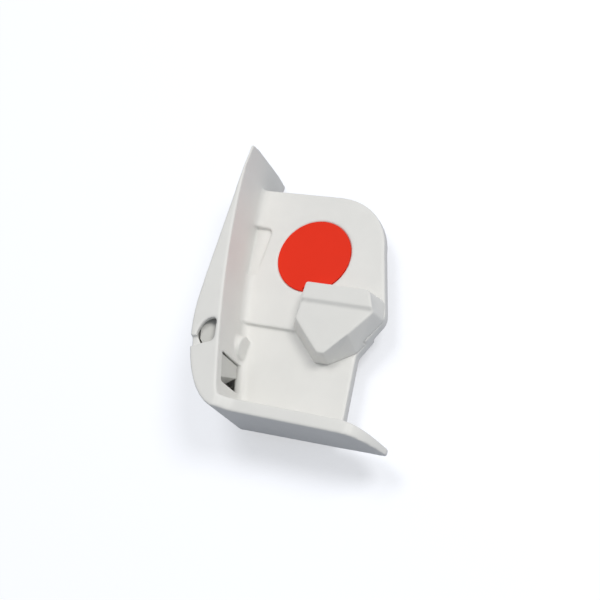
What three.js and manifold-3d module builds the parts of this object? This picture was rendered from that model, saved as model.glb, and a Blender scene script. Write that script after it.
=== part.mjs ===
// Stair gate latch: a moulded housing (side column, stepped back plate and bottom flange) with a
// bolted-on catch block, a red indicator disc and a sprung pawl inside the hollow column.
// Millimetres. The latch lies on its back: X across, Y up the plate, Z out of the plate.
// Shapes are drawn from a datum on the rear plane, behind the middle of the indicator disc.
// The finished latch's origin is on the same plane, under the middle of its footprint.
import * as THREE from "three";
import { mergeVertices } from "three/addons/utils/BufferGeometryUtils.js";
import Module from "manifold-3d";

// Driving dimensions
const WALL = 1.5;
const COLUMN_DEPTH = 22.5;
const COLUMN_TOP = 25;
const FIN_FRONT_TOP = 24.2;
const FIN_BACK_TOP = 24;
const COLUMN_REAR_BOTTOM = -43.9;
const FLANGE_UNDERSIDE = -46.9;
const FLANGE_TOP = -43.6;
const FLANGE_BACK = 3.5;
const FLANGE_FRONT = 20.5;
const FLANGE_TIP = 34.2;
const UPPER_FACE = 10;
const LOWER_FACE = 8.8;
const PLATE_THICKNESS = 3;
const PLATE_TOP = 17.6;
const STEP = -20.8;
const DISC_RADIUS = 10;
const DISC_THICKNESS = 0.9;
const DISC_STEM_RADIUS = 1.5;
const BLOCK_FACE = 15;
const BLOCK_BAND_HEIGHT = 0.7;
const BLOCK_CREASE = -14.6;
const BAND_SLOPE = 1.2;
const CAVITY_TOP = -12;
const CAVITY_BOTTOM = -40;
const WALL_FILLET = 2;
const FLANGE_FILLET = 1.4;
const POCKET = { top: 6.4, bottom: -7.8, shallow: 0.15, slope: 4.6, wallDepth: 0.1, reach: 6 };
const PAD_ROOM = { top: -23.6, bottom: -33.6, wall: 0.9, back: 16 };
const COVER_THICKNESS = 1.5;
const COVER_TOP = -4.5;
const COVER_BOTTOM = -42;
const COVER_FOOT = { left: -12.8, right: -8.4, bottom: -43.7 };
const PIVOT = { x: -17.85, y: -18.2, radius: 0.8 };
const PIVOT_BOSS_RADIUS = 1.55;
const PAWL_BACK = 8;
const PAWL_FRONT = 19.5;
const PAD_FRONT = 20.8;
const PAD_SLOPE = 0.45;
const NOSE_RAMP = { through: [-9.5, -38.5, 19], inward: [-0.6, 0.75, 0.28] };
const WINDOW = { bottom: -39.6, top: -32.2, back: 9.4, front: 19.5 };
const GUIDE_BOSS = { y: -27.8, z: 10.7, radius: 3, end: -10.5, length: 2.4 };
const STANDOFFS = { upper: [8, 6], lower: [12, -34] };
const STANDOFF_RADIUS = 4.5;
const INSERT = { radius: 2.8, bore: 1.7, length: 5.2 };
const BLOCK_SCREWS = { left: [7.5, -14.2], right: [16.8, -14.2] };
const COVER_SCREW = [-10.6, -41.7];
const COVER_TONGUE = { reach: 1.6, halfWidth: 0.5, back: 0.7, front: 1.3 };
const FOOTPRINT_MIDDLE = { x: 6.4, y: -11.5 };
const NOTCH_DEPTH = 1.1;
const FIT = 0.1; // gap left round each fitted piece

const wasm = await Module();
wasm.setup();

const white = new THREE.MeshStandardMaterial({ color: 0xe9e8e4, roughness: 0.42 });
const whiteBlock = new THREE.MeshStandardMaterial({ color: 0xe4e3df, roughness: 0.42 });
const red = new THREE.MeshStandardMaterial({ color: 0xe13826, roughness: 0.4 });
const nylon = new THREE.MeshStandardMaterial({ color: 0xcfcfcb, roughness: 0.5 });
const steel = new THREE.MeshStandardMaterial({ color: 0xb8babd, roughness: 0.3, metalness: 1 });
const brass = new THREE.MeshStandardMaterial({ color: 0xc9a65a, roughness: 0.35, metalness: 1 });

// Shape helpers

// A closed geometry as a solid that can be joined and cut.
function solid(geometry) {
  const bare = geometry.clone();
  bare.deleteAttribute("normal");
  bare.deleteAttribute("uv");
  const merged = mergeVertices(bare, 1e-4);
  return new wasm.Manifold(
    new wasm.Mesh({
      numProp: 3,
      vertProperties: new Float32Array(merged.attributes.position.array),
      triVerts: new Uint32Array(merged.index.array),
    }),
  );
}

// A named mesh of a solid.
function piece(name, shape, material) {
  const cut = shape.getMesh();
  const geometry = new THREE.BufferGeometry();
  geometry.setAttribute("position", new THREE.BufferAttribute(cut.vertProperties, 3));
  geometry.setIndex(new THREE.BufferAttribute(cut.triVerts, 1));
  geometry.computeVertexNormals();
  const mesh = new THREE.Mesh(geometry, material);
  mesh.name = name;
  return mesh;
}

// An outline in X and Y, raised from z0 to z1.
function raise(shape, z0, z1) {
  const geometry = new THREE.ExtrudeGeometry(shape, {
    depth: z1 - z0,
    bevelEnabled: false,
    curveSegments: 12,
  });
  return solid(geometry.translate(0, 0, z0));
}

// A polygon whose corners are rounded by the given radius, or by a third value in a point.
function rounded(points, radius) {
  const shape = new THREE.Shape();
  const count = points.length;
  points.forEach(([x, y, own], i) => {
    const corner = new THREE.Vector2(x, y);
    const towards = (j) => new THREE.Vector2(points[j][0], points[j][1]).sub(corner);
    const before = towards((i + count - 1) % count);
    const after = towards((i + 1) % count);
    const turn = Math.acos(before.dot(after) / (before.length() * after.length()));
    const cut = (own ?? radius) / Math.tan(turn / 2);
    const start = before.setLength(cut).add(corner);
    const end = after.setLength(cut).add(corner);
    if (i === 0) shape.moveTo(start.x, start.y);
    else shape.lineTo(start.x, start.y);
    shape.quadraticCurveTo(x, y, end.x, end.y);
  });
  shape.closePath();
  return shape;
}

// A round bar along Z.
function bar(x, y, radius, z0, z1, sides = 32, endRadius = radius) {
  const geometry = new THREE.CylinderGeometry(endRadius, radius, z1 - z0, sides);
  return solid(geometry.rotateX(Math.PI / 2).translate(x, y, (z0 + z1) / 2));
}

function box(x0, x1, y0, y1, z0, z1) {
  const geometry = new THREE.BoxGeometry(x1 - x0, y1 - y0, z1 - z0);
  return solid(geometry.translate((x0 + x1) / 2, (y0 + y1) / 2, (z0 + z1) / 2));
}

// The side of a solid that a direction points into, from the plane through a point.
function trim(body, inward, through) {
  const normal = new THREE.Vector3(...inward).normalize();
  return body.trimByPlane(normal.toArray(), normal.dot(new THREE.Vector3(...through)));
}

// Two anticlockwise outlines with the same number of points, joined as a tapering prism.
function taper(low, high, z0, z1) {
  const bottom = rounded(low, 0.8).extractPoints(6).shape.slice(0, -1);
  const top = rounded(high, 0.8).extractPoints(6).shape.slice(0, -1);
  const count = bottom.length;
  const corners = [];
  bottom.forEach((p) => corners.push(p.x, p.y, z0));
  top.forEach((p) => corners.push(p.x, p.y, z1));
  const faces = [];
  for (const [a, b, c] of THREE.ShapeUtils.triangulateShape(bottom, [])) {
    faces.push(c, b, a, a + count, b + count, c + count);
  }
  for (let i = 0; i < count; i++) {
    const j = (i + 1) % count;
    faces.push(i, j, j + count, i, j + count, i + count);
  }
  const geometry = new THREE.BufferGeometry();
  geometry.setAttribute("position", new THREE.Float32BufferAttribute(corners, 3));
  geometry.setIndex(faces);
  return solid(geometry);
}

// Column outline: a straight then curved outer side and a leaning inner wall.
const outerCurve = new THREE.CubicBezierCurve(
  new THREE.Vector2(-21.3, -18),
  new THREE.Vector2(-21.3, -30),
  new THREE.Vector2(-16, -44.5),
  new THREE.Vector2(-8, FLANGE_UNDERSIDE),
);
const innerCurve = new THREE.QuadraticBezierCurve(
  new THREE.Vector2(-20.9, 18),
  new THREE.Vector2(-18.4, -9),
  new THREE.Vector2(-8, -41.5),
);

// Place along a curve that falls steadily, where it crosses height y.
function parameterAt(curve, y) {
  let low = 0;
  let high = 1;
  for (let i = 0; i < 40; i++) {
    const middle = (low + high) / 2;
    if (curve.getPoint(middle).y > y) low = middle;
    else high = middle;
  }
  return low;
}

// Points on a falling curve between two heights, moved sideways; a positive distance is to +X.
function offsetPoints(curve, from, to, distance, steps = 10) {
  const start = parameterAt(curve, from);
  const stop = parameterAt(curve, to);
  return Array.from({ length: steps + 1 }, (_, i) => {
    const t = start + ((stop - start) * i) / steps;
    const along = curve.getTangent(t);
    return curve.getPoint(t).add(new THREE.Vector2(-along.y, along.x).multiplyScalar(distance));
  });
}

// The column's outline, inset, between two heights.
function columnInset(top, bottom, inset) {
  const curveTop = Math.min(top, outerCurve.v0.y - 0.01);
  const outer = offsetPoints(outerCurve, curveTop, bottom - inset / 2, inset);
  if (top > curveTop) outer.unshift(new THREE.Vector2(outerCurve.v0.x + inset, top));
  const inner = offsetPoints(innerCurve, top, Math.max(bottom, innerCurve.v2.y + 0.5), -inset);
  return new THREE.Shape([...outer, ...inner.reverse()]);
}

// Side profile of the column (Y across, Z up the page). Its fin bulges slightly at the top, and the
// foot slopes in towards the rear.
function finProfile() {
  const shape = new THREE.Shape();
  shape.moveTo(COLUMN_REAR_BOTTOM, -1);
  shape.lineTo(FIN_BACK_TOP, -1);
  shape.quadraticCurveTo(2 * COLUMN_TOP - FIN_FRONT_TOP, 13, FIN_FRONT_TOP, COLUMN_DEPTH);
  shape.lineTo(FIN_FRONT_TOP - 0.5, COLUMN_DEPTH + 1);
  shape.lineTo(-60, COLUMN_DEPTH + 1);
  shape.closePath();
  const geometry = new THREE.ExtrudeGeometry(shape, {
    depth: 20,
    bevelEnabled: false,
    curveSegments: 12,
  });
  // The page's Y and Z become the part's Y and Z, and the extrusion runs along X.
  geometry.applyMatrix4(new THREE.Matrix4().set(0, 0, 1, -25, 1, 0, 0, 0, 0, 1, 0, 0, 0, 0, 0, 1));
  return solid(geometry);
}

// A concave fillet of the given radius along a path of points on the corner. Each point has a pair
// of directions out of the corner, whose cross product runs along the path.
function fillet(path, sides, radius) {
  const arcSteps = 6;
  const sunk = 0.4;
  const ring = ([first, second], point) => {
    const place = (a, b) => point.clone().addScaledVector(first, a).addScaledVector(second, b);
    const points = [place(-sunk, -sunk), place(radius, -sunk)];
    for (let i = 0; i <= arcSteps; i++) {
      const turn = ((Math.PI / 2) * i) / arcSteps;
      points.push(place(radius * (1 - Math.sin(turn)), radius * (1 - Math.cos(turn))));
    }
    points.push(place(-sunk, radius));
    return points;
  };
  const rings = path.map((point, i) => ring(sides[i], point));
  const count = rings[0].length;
  const faces = [];
  for (let i = 1; i < count - 1; i++) {
    const last = (rings.length - 1) * count;
    faces.push(0, i + 1, i, last, last + i, last + i + 1);
  }
  for (let k = 0; k < rings.length - 1; k++) {
    for (let i = 0; i < count; i++) {
      const j = (i + 1) % count;
      const [a, b, c, d] = [k * count + i, k * count + j, (k + 1) * count + j, (k + 1) * count + i];
      faces.push(a, b, c, a, c, d);
    }
  }
  const geometry = new THREE.BufferGeometry().setFromPoints(rings.flat());
  geometry.setIndex(faces);
  return solid(geometry);
}

// Fillets where the column's inner wall and the flange meet the two plates.
function cornerFillets() {
  const up = new THREE.Vector3(0, 0, 1);
  const alongWall = (from, to, face) => {
    const start = parameterAt(innerCurve, from);
    const stop = parameterAt(innerCurve, to);
    const path = [];
    const sides = [];
    for (let i = 0; i <= 12; i++) {
      const t = start + ((stop - start) * i) / 12;
      const point = innerCurve.getPoint(t);
      const along = innerCurve.getTangent(t);
      path.push(new THREE.Vector3(point.x, point.y, face));
      sides.push([new THREE.Vector3(-along.y, along.x, 0), up]);
    }
    return fillet(path, sides, WALL_FILLET);
  };
  const out = new THREE.Vector3(0, 1, 0);
  const low = [-9, 21].map((x) => new THREE.Vector3(x, FLANGE_TOP, LOWER_FACE));
  const flangeFillet = fillet(
    low,
    low.map(() => [out, up]),
    FLANGE_FILLET,
  );
  return alongWall(PLATE_TOP - 0.3, STEP, UPPER_FACE)
    .add(alongWall(STEP, FLANGE_TOP + 2.2, LOWER_FACE))
    .add(flangeFillet);
}

// A ramp from the column's front down to the flange's lower front.
function frontRamp() {
  const plan = new THREE.Shape();
  plan.moveTo(-8.2, 1 - FLANGE_FRONT);
  plan.lineTo(-2.6, 1 - FLANGE_FRONT);
  plan.lineTo(-2.6, -FLANGE_FRONT);
  plan.bezierCurveTo(-5.5, -FLANGE_FRONT, -5.2, -COLUMN_DEPTH, -8, -COLUMN_DEPTH);
  plan.lineTo(-8.2, -COLUMN_DEPTH);
  plan.closePath();
  const geometry = new THREE.ExtrudeGeometry(plan, {
    depth: FLANGE_TOP - FLANGE_UNDERSIDE,
    bevelEnabled: false,
    curveSegments: 8,
  });
  geometry.rotateX(-Math.PI / 2).translate(0, FLANGE_UNDERSIDE, 0);
  return solid(geometry);
}

function columnOutline() {
  const shape = new THREE.Shape();
  shape.moveTo(-21.6, 18);
  shape.lineTo(outerCurve.v0.x, outerCurve.v0.y);
  shape.bezierCurveTo(
    outerCurve.v1.x,
    outerCurve.v1.y,
    outerCurve.v2.x,
    outerCurve.v2.y,
    outerCurve.v3.x,
    outerCurve.v3.y,
  );
  shape.lineTo(-7, FLANGE_UNDERSIDE);
  shape.lineTo(-7, FLANGE_TOP);
  shape.lineTo(innerCurve.v2.x, innerCurve.v2.y);
  shape.quadraticCurveTo(innerCurve.v1.x, innerCurve.v1.y, innerCurve.v0.x, innerCurve.v0.y);
  shape.lineTo(-20.5, COLUMN_TOP - 0.4);
  shape.quadraticCurveTo(-20.9, COLUMN_TOP, -21.3, COLUMN_TOP - 0.9);
  shape.closePath();
  return shape;
}

// The flange: its plan (X and Z) meets its front profile (X and Y), so the flared end thins out.
function flange() {
  const plan = new THREE.Shape();
  plan.moveTo(-7.8, -FLANGE_BACK);
  plan.lineTo(20, -FLANGE_BACK - 2);
  plan.quadraticCurveTo(31, -FLANGE_BACK - 3, FLANGE_TIP, -FLANGE_BACK - 7);
  plan.quadraticCurveTo(FLANGE_TIP + 0.6, -FLANGE_BACK - 8, FLANGE_TIP - 0.2, -FLANGE_BACK - 9);
  plan.quadraticCurveTo(31.8, 2.9 - FLANGE_FRONT, 28, 0.4 - FLANGE_FRONT);
  plan.quadraticCurveTo(27.5, -FLANGE_FRONT, 26, -FLANGE_FRONT);
  plan.lineTo(-7.8, -FLANGE_FRONT);
  plan.closePath();
  const profile = new THREE.Shape();
  profile.moveTo(-10, FLANGE_TOP);
  profile.lineTo(-10, FLANGE_UNDERSIDE);
  profile.lineTo(24, FLANGE_UNDERSIDE);
  profile.quadraticCurveTo(30, FLANGE_UNDERSIDE, FLANGE_TIP + 1, FLANGE_UNDERSIDE - 1);
  profile.lineTo(FLANGE_TIP + 1, FLANGE_TOP - 3);
  profile.quadraticCurveTo(30, FLANGE_TOP - 0.2, 25, FLANGE_TOP);
  profile.closePath();
  const geometry = new THREE.ExtrudeGeometry(plan, {
    depth: 9,
    bevelEnabled: false,
    curveSegments: 12,
  });
  geometry.rotateX(-Math.PI / 2).translate(0, -50, 0);
  return solid(geometry).intersect(raise(profile, 0, 30));
}

function upperPlate() {
  const shape = new THREE.Shape();
  shape.moveTo(-21.2, PLATE_TOP);
  shape.lineTo(2.5, PLATE_TOP);
  shape.bezierCurveTo(11, PLATE_TOP, 17.2, 11.5, 18.5, 4);
  shape.lineTo(23.5, -12.6);
  shape.quadraticCurveTo(24.1, -14.6, 22.9, -16.4);
  shape.lineTo(20.6, STEP);
  shape.lineTo(-16, STEP);
  shape.lineTo(-19.3, 0);
  shape.closePath();
  return raise(shape, UPPER_FACE - PLATE_THICKNESS, UPPER_FACE);
}

function lowerPlate() {
  const shape = new THREE.Shape();
  shape.moveTo(-15.6, STEP + 2);
  shape.lineTo(-12, -32);
  shape.lineTo(-9, FLANGE_TOP - 1);
  shape.lineTo(20.8, FLANGE_TOP - 1);
  shape.lineTo(18.8, -24.4);
  shape.lineTo(21.6, STEP + 2);
  shape.closePath();
  return raise(shape, LOWER_FACE - PLATE_THICKNESS, LOWER_FACE);
}

// The opening in the column's front, and the notch that runs from it through the outer side.
function fingerOpening() {
  const opening = new THREE.Shape();
  opening.moveTo(-18.1, -29.8);
  opening.quadraticCurveTo(-17.7, -25.3, -14.9, -24.9);
  opening.quadraticCurveTo(-13.8, -25, -13.7, -26.3);
  opening.lineTo(-13, -30);
  opening.quadraticCurveTo(-13.1, -31, -14.3, -31.2);
  opening.lineTo(-16.3, -32);
  opening.closePath();
  const notch = rounded(
    [
      [-22, -31.4],
      [-18, -30.2],
      [-15.9, -31.8],
      [-17.2, -33],
      [-22, -33.2],
    ],
    0.3,
  );
  const inFront = COLUMN_DEPTH - WALL - 0.1;
  return raise(opening, inFront, COLUMN_DEPTH + 1).add(raise(notch, COLUMN_DEPTH - NOTCH_DEPTH, COLUMN_DEPTH + 1));
}

// A groove in the upper plate at the wall's foot, deepest at its round top end. The wall has no
// fillet beside it.
function wallPocket() {
  const { top, bottom, shallow, slope, wallDepth, reach } = POCKET;
  const groove = rounded(
    [
      [-19.6, 0],
      [-14.6, 0.8],
      [-14.3, top - bottom, 1.9],
      [-19.6, top - bottom],
    ],
    0.3,
  );
  const sunk = offsetPoints(innerCurve, top, bottom, -wallDepth);
  const away = offsetPoints(innerCurve, top, bottom, reach);
  const beside = new THREE.Shape([...sunk, ...away.reverse()]);
  return raise(groove, 0, 4)
    .rotate([-slope, 0, 0])
    .translate([0, bottom, UPPER_FACE - shallow])
    .intersect(raise(beside, 0, COLUMN_DEPTH))
    .add(raise(beside, UPPER_FACE, UPPER_FACE + WALL_FILLET + 0.4));
}

// Pentagon outlines of the catch block, at its foot and at its face.
const blockFoot = [
  [0, -9.2],
  [-0.2, -19.8],
  [8.6, -27.9],
  [12.6, -27.9],
  [18.9, -23.9, 0.4],
  [24.3, -14.8],
  [23.1, -9.3, 1.7],
];
const blockFace = [
  [3, -9.3],
  [3, -19.3],
  [11.2, -27],
  [13, -27.2],
  [17.9, -21.2, 0.4],
  [22.7, -14.7],
  [20.4, -9.3, 2.4],
];

function catchBlock() {
  const body = taper(blockFoot, blockFace, LOWER_FACE, BLOCK_FACE);
  const bandTop = BLOCK_FACE + BLOCK_BAND_HEIGHT;
  const band = raise(rounded(blockFace, 0.8), BLOCK_FACE - 1, bandTop);
  let block = body.add(trim(band, [0, 1, -BAND_SLOPE], [0, BLOCK_CREASE, BLOCK_FACE]));
  block = block.subtract(box(-2, 25, STEP - FIT, -8, LOWER_FACE - 1, UPPER_FACE));
  for (const [x, y] of Object.values(BLOCK_SCREWS)) {
    block = block.subtract(bar(x, y, 1.25 + FIT, UPPER_FACE - 1, UPPER_FACE + 4.2, 20));
  }
  return block;
}

function housing() {
  let shell = raise(columnOutline(), 0, COLUMN_DEPTH).intersect(finProfile());
  shell = shell.add(flange()).add(upperPlate()).add(lowerPlate());
  shell = shell.add(cornerFillets()).add(frontRamp());
  for (const place of Object.values(STANDOFFS)) {
    shell = shell.add(bar(...place, STANDOFF_RADIUS, 0, LOWER_FACE - 1));
  }
  shell = shell.subtract(raise(columnInset(CAVITY_TOP, CAVITY_BOTTOM, WALL), -1, COLUMN_DEPTH - WALL));
  const { top, bottom, wall, back } = PAD_ROOM;
  shell = shell.subtract(raise(columnInset(top, bottom, wall), back, COLUMN_DEPTH - WALL));
  const { radius, end, length, y, z } = GUIDE_BOSS;
  const boss = new THREE.CylinderGeometry(radius, radius, length, 28);
  boss.rotateZ(Math.PI / 2).translate(end - length / 2, y, z);
  shell = shell.add(solid(boss));
  shell = shell.subtract(coverPlate(FIT, -1, COVER_THICKNESS + FIT));
  shell = shell.subtract(fingerOpening()).subtract(wallPocket());
  shell = shell.subtract(
    box(-13.5, -6, WINDOW.bottom, WINDOW.top, WINDOW.back, WINDOW.front),
  );
  const recess = UPPER_FACE - DISC_THICKNESS;
  shell = shell.subtract(bar(0, 0, DISC_RADIUS + FIT, recess, UPPER_FACE + 1, 72));
  shell = shell.subtract(bar(0, 0, DISC_STEM_RADIUS + FIT, 0, UPPER_FACE, 24));
  for (const place of Object.values(STANDOFFS)) {
    shell = shell.subtract(bar(...place, INSERT.radius + FIT, -1, INSERT.length + FIT));
  }
  for (const place of Object.values(BLOCK_SCREWS)) {
    shell = shell.subtract(bar(...place, 1.25 + FIT, 0, UPPER_FACE + 1, 20));
  }
  shell = shell.subtract(bar(...COVER_SCREW, 0.95 + FIT, -1, 9.3, 16)).subtract(coverTongue(FIT));
  return shell.subtract(bar(PIVOT.x, PIVOT.y, PIVOT.radius + FIT, 20, 22, 20));
}

// Tongue that hooks the cover's top end into the column, grown all round for its slot.
function coverTongue(grow) {
  const x = -19.4;
  const { reach, halfWidth, back, front } = COVER_TONGUE;
  const top = COVER_TOP + reach + grow;
  return box(x - halfWidth - grow, x + halfWidth + grow, COVER_TOP - 1, top, back - grow, front + grow);
}

// The cover's outline with its screw foot, grown all round for the rebate that it sits in.
function coverPlate(grow, z0, z1) {
  const { left, right, bottom } = COVER_FOOT;
  const long = columnInset(COVER_TOP + grow, COVER_BOTTOM - grow, 1.1 - grow);
  return raise(long, z0, z1).add(
    box(left - grow, right + grow, bottom - grow, CAVITY_BOTTOM, z0, z1),
  );
}

function columnCover() {
  return coverPlate(0, 0, COVER_THICKNESS)
    .add(coverTongue(0))
    .subtract(bar(...COVER_SCREW, 0.95 + FIT, -1, 3, 16))
    .subtract(bar(...COVER_SCREW, 1.7 + FIT, -0.1, 0.95, 24, 0.95 + FIT))
    .subtract(bar(PIVOT.x, PIVOT.y, PIVOT.radius + FIT, 0.7, 2, 20));
}

function countersunkScrew([x, y]) {
  const head = bar(x, y, 1.7, 0, 0.85, 24, 0.95);
  const slot = box(x - 1.2, x + 1.2, y - 0.2, y + 0.2, -1, 0.4);
  return head.add(bar(x, y, 0.95, 0.5, 9, 16)).subtract(slot);
}

function panScrew([x, y]) {
  const plateBack = UPPER_FACE - PLATE_THICKNESS;
  const head = bar(x, y, 2, plateBack - 1.9, plateBack - 1.2, 24, 2.5);
  const rim = bar(x, y, 2.5, plateBack - 1.2, plateBack, 24);
  const cross = box(x - 1.4, x + 1.4, y - 0.3, y + 0.3, 4, plateBack - 1).add(
    box(x - 0.3, x + 0.3, y - 1.4, y + 1.4, 4, plateBack - 1),
  );
  return head.add(rim).subtract(cross).add(bar(x, y, 1.25, plateBack - 0.5, UPPER_FACE + 4, 20));
}

function indicatorDisc() {
  const back = UPPER_FACE - DISC_THICKNESS;
  const grown = blockFoot.map(([x, y]) => [x + Math.sign(x - 10) * 0.3, y + 0.3]);
  return bar(0, 0, DISC_RADIUS, back, UPPER_FACE + 0.05, 72)
    .add(bar(0, 0, DISC_STEM_RADIUS, 4.6, back + 0.2, 24))
    .subtract(raise(rounded(grown, 0.4), back - 1, UPPER_FACE + 1));
}

function pushNut() {
  const plateBack = UPPER_FACE - PLATE_THICKNESS;
  return bar(0, 0, 3.4, plateBack - 0.6, plateBack, 28).subtract(
    bar(0, 0, DISC_STEM_RADIUS + FIT, 0, UPPER_FACE, 24),
  );
}

// The pawl hangs from the pin. Its nose stands in the window and ends in a ramp; its pad, which
// slopes down to the right, lies behind the finger opening.
function releasePawl() {
  const arm = rounded(
    [
      [-18.9, -18.6],
      [-16.9, -17.6],
      [-12.85, -32.5],
      [-11.3, -32.5],
      [-9.5, -38.5],
      [-12.6, -38.7],
      [-15.9, -31],
    ],
    0.15,
  );
  const pad = rounded(
    [
      [-19.1, -24.6],
      [-14.9, -24.2],
      [-13.4, -31.2],
      [-16, -32.3],
      [-17.8, -30.4],
    ],
    0.3,
  );
  const boss = bar(PIVOT.x, PIVOT.y, PIVOT_BOSS_RADIUS, PAWL_BACK, PAWL_FRONT, 28);
  return trim(raise(arm, WINDOW.back + 0.5, WINDOW.front - 0.5), NOSE_RAMP.inward, NOSE_RAMP.through)
    .add(boss)
    .add(trim(raise(pad, PAWL_FRONT - 2.5, PAD_FRONT), [-PAD_SLOPE, 0, -1], [-18.3, 0, PAD_FRONT]))
    .subtract(bar(PIVOT.x, PIVOT.y, PIVOT.radius + FIT / 2, 0, COLUMN_DEPTH, 28));
}

function pivotPin() {
  return bar(PIVOT.x, PIVOT.y, PIVOT.radius, 0.8, 21.9, 28);
}

// Torsion spring round the pin: one leg against the outer side, one behind the pawl's arm.
function returnSpring() {
  const wire = 0.22;
  const coil = 1.3;
  const turns = 5.5;
  const start = 2.4;
  const pitch = 0.85;
  const points = [];
  const at = (angle, z) =>
    new THREE.Vector3(PIVOT.x + coil * Math.cos(angle), PIVOT.y + coil * Math.sin(angle), z);
  for (let i = 5; i > 0; i--) {
    points.push(at(Math.PI, start).add(new THREE.Vector3(0, -0.9 * i, 0)));
  }
  const steps = Math.round(turns * 14);
  for (let i = 0; i <= steps; i++) {
    const turn = (turns * i) / steps;
    points.push(at(Math.PI - 2 * Math.PI * turn, start + pitch * turn));
  }
  const end = start + pitch * turns;
  for (let i = 1; i <= 5; i++) {
    points.push(at(0, end).add(new THREE.Vector3(0.04 * i, -1.1 * i, 0)));
  }
  const section = new THREE.Shape().absarc(0, 0, wire, 0, 2 * Math.PI);
  return solid(
    new THREE.ExtrudeGeometry(section, {
      extrudePath: new THREE.CatmullRomCurve3(points),
      steps: 120,
      curveSegments: 3,
      bevelEnabled: false,
    }),
  );
}

function threadedInsert([x, y]) {
  const sleeve = bar(x, y, INSERT.radius, 0, INSERT.length, 32);
  return sleeve.subtract(bar(x, y, INSERT.bore, -1, INSERT.length + 1, 24));
}

const latch = new THREE.Group();
latch.add(
  piece("housing", housing(), white),
  piece("column_cover", columnCover(), white),
  piece("cover_screw", countersunkScrew(COVER_SCREW), steel),
  piece("catch_block", catchBlock(), whiteBlock),
  piece("block_screw_left", panScrew(BLOCK_SCREWS.left), steel),
  piece("block_screw_right", panScrew(BLOCK_SCREWS.right), steel),
  piece("indicator_disc", indicatorDisc(), red),
  piece("indicator_push_nut", pushNut(), steel),
  piece("release_pawl", releasePawl(), nylon),
  piece("pivot_pin", pivotPin(), steel),
  piece("return_spring", returnSpring(), steel),
  piece("threaded_insert_upper", threadedInsert(STANDOFFS.upper), brass),
  piece("threaded_insert_lower", threadedInsert(STANDOFFS.lower), brass),
);

latch.position.set(-FOOTPRINT_MIDDLE.x, -FOOTPRINT_MIDDLE.y, 0);

export default latch;
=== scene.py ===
"""Looks of the stair gate latch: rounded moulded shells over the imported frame,
materials, floor, light and camera."""

import math

import bpy
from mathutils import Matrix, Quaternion, Vector


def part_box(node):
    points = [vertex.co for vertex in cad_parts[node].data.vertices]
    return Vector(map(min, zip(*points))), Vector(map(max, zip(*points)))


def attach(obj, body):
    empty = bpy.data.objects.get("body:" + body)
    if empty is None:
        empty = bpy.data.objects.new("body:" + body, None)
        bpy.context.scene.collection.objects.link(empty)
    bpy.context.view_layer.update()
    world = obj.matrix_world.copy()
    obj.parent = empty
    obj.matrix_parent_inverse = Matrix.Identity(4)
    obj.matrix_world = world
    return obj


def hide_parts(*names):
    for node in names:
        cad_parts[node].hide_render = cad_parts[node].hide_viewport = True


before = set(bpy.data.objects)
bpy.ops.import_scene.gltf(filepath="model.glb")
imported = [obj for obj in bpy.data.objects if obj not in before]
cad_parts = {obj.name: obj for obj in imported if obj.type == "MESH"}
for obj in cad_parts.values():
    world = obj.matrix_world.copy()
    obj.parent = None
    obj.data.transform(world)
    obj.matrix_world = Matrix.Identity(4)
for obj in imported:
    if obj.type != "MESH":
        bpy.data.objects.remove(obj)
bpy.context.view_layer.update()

MM = 0.001
BODY = "latch_body"
PAWL = "pawl"

# The drawing datum of the latch, behind the middle of the indicator disc, where its push nut is.
NUT_LOW, NUT_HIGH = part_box("indicator_push_nut")
DATUM = Vector(((NUT_LOW.x + NUT_HIGH.x) / 2, (NUT_LOW.y + NUT_HIGH.y) / 2, 0))

PLATE_FACE = 10.0  # millimetres above the datum


def at(x, y, z):
    """A place in metres from one in millimetres from the datum."""
    return DATUM + Vector((x, y, z)) * MM


# Mesh work


def moulded(node, body, voxel, rounds, keep, shrink=0.0):
    """A rounded moulding made from a CAD node: remeshed, its edges smoothed, then thinned out.

    voxel and shrink are in millimetres, and keep is the share of the faces that stays.
    """
    piece = bpy.data.objects.new(node + "_moulding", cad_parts[node].data.copy())
    bpy.context.scene.collection.objects.link(piece)
    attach(piece, body)
    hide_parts(node)
    remesh = piece.modifiers.new("remesh", "REMESH")
    remesh.mode = "VOXEL"
    remesh.voxel_size = voxel * MM
    smooth = piece.modifiers.new("round_edges", "SMOOTH")
    smooth.factor = 0.5
    smooth.iterations = rounds
    if shrink:
        inward = piece.modifiers.new("shrink", "DISPLACE")
        inward.mid_level = 0
        inward.strength = -shrink * MM
    thin = piece.modifiers.new("thin_out", "DECIMATE")
    thin.ratio = keep
    shape = bpy.data.meshes.new_from_object(
        piece.evaluated_get(bpy.context.evaluated_depsgraph_get())
    )
    piece.modifiers.clear()
    piece.data = shape
    shape.shade_smooth()
    return piece


def bevelled(node, width):
    """Softens a carried-over CAD node's edges with a modifier."""
    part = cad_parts[node]
    bevel = part.modifiers.new("soft_edges", "BEVEL")
    bevel.width = width * MM
    bevel.segments = 2
    bevel.limit_method = "ANGLE"
    bevel.angle_limit = math.radians(35)
    return part


# Materials


def new_material(name, colour, roughness, metallic=0.0, specular=0.5):
    material = bpy.data.materials.new(name)
    material.use_nodes = True
    shader = material.node_tree.nodes["Principled BSDF"]
    shader.inputs["Base Color"].default_value = (*colour, 1)
    shader.inputs["Roughness"].default_value = roughness
    shader.inputs["Metallic"].default_value = metallic
    shader.inputs["Specular IOR Level"].default_value = specular
    return material, shader


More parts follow.
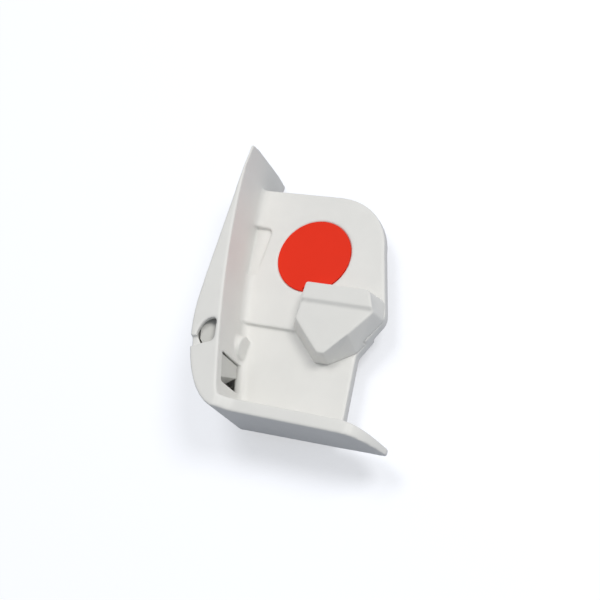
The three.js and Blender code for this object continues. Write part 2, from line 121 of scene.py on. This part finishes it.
def noise(material, size, detail=3.0, stretch=(1, 1, 1)):
    """Noise whose blotches are about size millimetres across."""
    nodes, links = material.node_tree.nodes, material.node_tree.links
    place = nodes.new("ShaderNodeTexCoord")
    mapping = nodes.new("ShaderNodeMapping")
    mapping.inputs["Scale"].default_value = stretch
    texture = nodes.new("ShaderNodeTexNoise")
    texture.inputs["Scale"].default_value = 1 / (size * MM)
    texture.inputs["Detail"].default_value = detail
    links.new(place.outputs["Object"], mapping.inputs["Vector"])
    links.new(mapping.outputs["Vector"], texture.inputs["Vector"])
    return texture.outputs["Fac"]


def ramp(material, source, low, high):
    """Maps noise to a colour between low and high."""
    node = material.node_tree.nodes.new("ShaderNodeValToRGB")
    node.color_ramp.elements[0].position = 0.35
    node.color_ramp.elements[1].position = 0.65
    node.color_ramp.elements[0].color = (*low, 1)
    node.color_ramp.elements[1].color = (*high, 1)
    material.node_tree.links.new(source, node.inputs["Fac"])
    return node.outputs["Color"]


def spread(material, source, low, high):
    """Maps noise to a number between low and high."""
    node = material.node_tree.nodes.new("ShaderNodeMapRange")
    node.inputs["From Min"].default_value = 0.3
    node.inputs["From Max"].default_value = 0.7
    node.inputs["To Min"].default_value = low
    node.inputs["To Max"].default_value = high
    material.node_tree.links.new(source, node.inputs["Value"])
    return node.outputs["Result"]


def bump(material, shader, source, depth, strength):
    """Bump of the given depth in millimetres."""
    node = material.node_tree.nodes.new("ShaderNodeBump")
    node.inputs["Distance"].default_value = depth * MM
    node.inputs["Strength"].default_value = strength
    material.node_tree.links.new(source, node.inputs["Height"])
    material.node_tree.links.new(node.outputs["Normal"], shader.inputs["Normal"])


def moulded_plastic(name, colour, roughness, grain=0.35, contrast=0.015, specular=0.4):
    """Satin moulded plastic: faint mottling, uneven gloss and a fine spark-eroded texture."""
    material, shader = new_material(name, colour, roughness, specular=specular)
    links = material.node_tree.links
    darker = tuple(c * (1 - contrast) for c in colour)
    lighter = tuple(min(1, c * (1 + contrast)) for c in colour)
    links.new(ramp(material, noise(material, 9), darker, lighter), shader.inputs["Base Color"])
    gloss = spread(material, noise(material, 3), roughness - 0.05, roughness + 0.05)
    links.new(gloss, shader.inputs["Roughness"])
    bump(material, shader, noise(material, grain, 4), 0.02, 0.25)
    return material


def metal(name, colour, roughness, stretch):
    """Turned or plated metal with fine lines along one direction."""
    material, shader = new_material(name, colour, roughness, 1)
    links = material.node_tree.links
    darker = tuple(c * 0.9 for c in colour)
    links.new(ramp(material, noise(material, 0.8), darker, colour), shader.inputs["Base Color"])
    lines = noise(material, 0.25, 2, stretch)
    links.new(spread(material, lines, roughness - 0.08, roughness + 0.1), shader.inputs["Roughness"])
    bump(material, shader, lines, 0.01, 0.2)
    return material


WHITE = moulded_plastic("white_shell", (0.80, 0.795, 0.775), 0.42)
BLOCK_WHITE = moulded_plastic("white_block", (0.785, 0.78, 0.76), 0.38, 0.3)
# The pawl is white plastic. Its darker colour is painted shade for the inside of the column, where it
# shows through the finger recess and the window.
PAWL_SHADED_WHITE = moulded_plastic("pawl_nylon", (0.62, 0.62, 0.60), 0.5, 0.25)
RED = moulded_plastic("indicator_red", (0.83, 0.032, 0.010), 0.45, 0.2, 0.008, 0.12)
STEEL = metal("zinc_steel", (0.58, 0.59, 0.60), 0.32, (1, 1, 0.1))
BRASS = metal("turned_brass", (0.72, 0.52, 0.24), 0.3, (0.1, 0.1, 1))


def paint(obj, material):
    obj.data.materials.clear()
    obj.data.materials.append(material)


# The latch

housing = moulded("housing", BODY, voxel=0.22, rounds=30, keep=0.35)
block = moulded("catch_block", BODY, voxel=0.14, rounds=45, keep=0.4)
cover = moulded("column_cover", BODY, voxel=0.12, rounds=5, keep=0.5)
pawl = moulded("release_pawl", PAWL, voxel=0.1, rounds=6, keep=0.5, shrink=0.08)
paint(housing, WHITE)
paint(block, BLOCK_WHITE)
paint(cover, WHITE)
paint(pawl, PAWL_SHADED_WHITE)

FITTINGS = {
    "indicator_disc": (0.2, RED),
    "indicator_push_nut": (0.08, STEEL),
    "cover_screw": (0.06, STEEL),
    "block_screw_left": (0.1, STEEL),
    "block_screw_right": (0.1, STEEL),
    "pivot_pin": (0.1, STEEL),
    "threaded_insert_upper": (0.15, BRASS),
    "threaded_insert_lower": (0.15, BRASS),
}
for node, (width, material) in FITTINGS.items():
    paint(bevelled(node, width), material)
paint(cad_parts["return_spring"], STEEL)
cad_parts["return_spring"].data.shade_smooth()

# Floor, light and camera


FLOOR_WIDTH = 6
FLOOR_DROP = 0.1 * MM  # the floor is this much below the latch
FLOOR_GLOW = 0.53


def make_floor():
    """A plain floor that gives off light to the camera alone, so that it looks white."""
    bpy.ops.mesh.primitive_plane_add(size=FLOOR_WIDTH, location=(0, 0, -FLOOR_DROP))
    floor = bpy.context.object
    floor.name = "studio_floor"
    material, shader = new_material("floor_white", (0.54, 0.56, 0.62), 0.9, specular=0.0)
    path = material.node_tree.nodes.new("ShaderNodeLightPath")
    glow = material.node_tree.nodes.new("ShaderNodeMath")
    glow.operation = "MULTIPLY"
    glow.inputs[1].default_value = FLOOR_GLOW
    shader.inputs["Emission Color"].default_value = (1, 1, 1, 1)
    material.node_tree.links.new(path.outputs["Is Camera Ray"], glow.inputs[0])
    material.node_tree.links.new(glow.outputs["Value"], shader.inputs["Emission Strength"])
    paint(floor, material)


def make_light(name, place, size, power, colour):
    light = bpy.data.lights.new(name, "AREA")
    light.shape = "DISK"
    light.size = size
    light.energy = power
    light.color = colour
    lamp = bpy.data.objects.new(name, light)
    lamp.location = place
    lamp.rotation_euler = (-Vector(place)).to_track_quat("-Z", "Y").to_euler()
    bpy.context.scene.collection.objects.link(lamp)


def make_camera():
    """The eye is 279 mm from the indicator disc, and the camera is rolled so that the plate leans."""
    eye = at(124.84, -100.67, 243.34)
    aim = at(0.03, -12.48, PLATE_FACE)
    roll = math.radians(-41.54)
    camera = bpy.data.objects.new("camera", bpy.data.cameras.new("camera"))
    camera.data.lens = 66
    camera.data.sensor_width = 36
    camera.data.clip_start = 0.01
    camera.location = eye
    camera.rotation_mode = "QUATERNION"
    turn = (aim - eye).to_track_quat("-Z", "Y")
    camera.rotation_quaternion = turn @ Quaternion((0, 0, 1), roll)
    bpy.context.scene.collection.objects.link(camera)
    bpy.context.scene.camera = camera


make_floor()
make_light("key", (0.45, 0.28, 0.74), 0.3, 3.3, (1, 0.98, 0.93))
make_light("top", (-0.1, 0.25, 0.87), 0.3, 2.1, (1, 0.98, 0.95))
world = bpy.data.worlds.new("studio")
world.use_nodes = True
world.node_tree.nodes["Background"].inputs["Color"].default_value = (0.89, 0.94, 1, 1)
world.node_tree.nodes["Background"].inputs["Strength"].default_value = 0.36
bpy.context.scene.world = world
bpy.context.scene.view_settings.view_transform = "Standard"
make_camera()
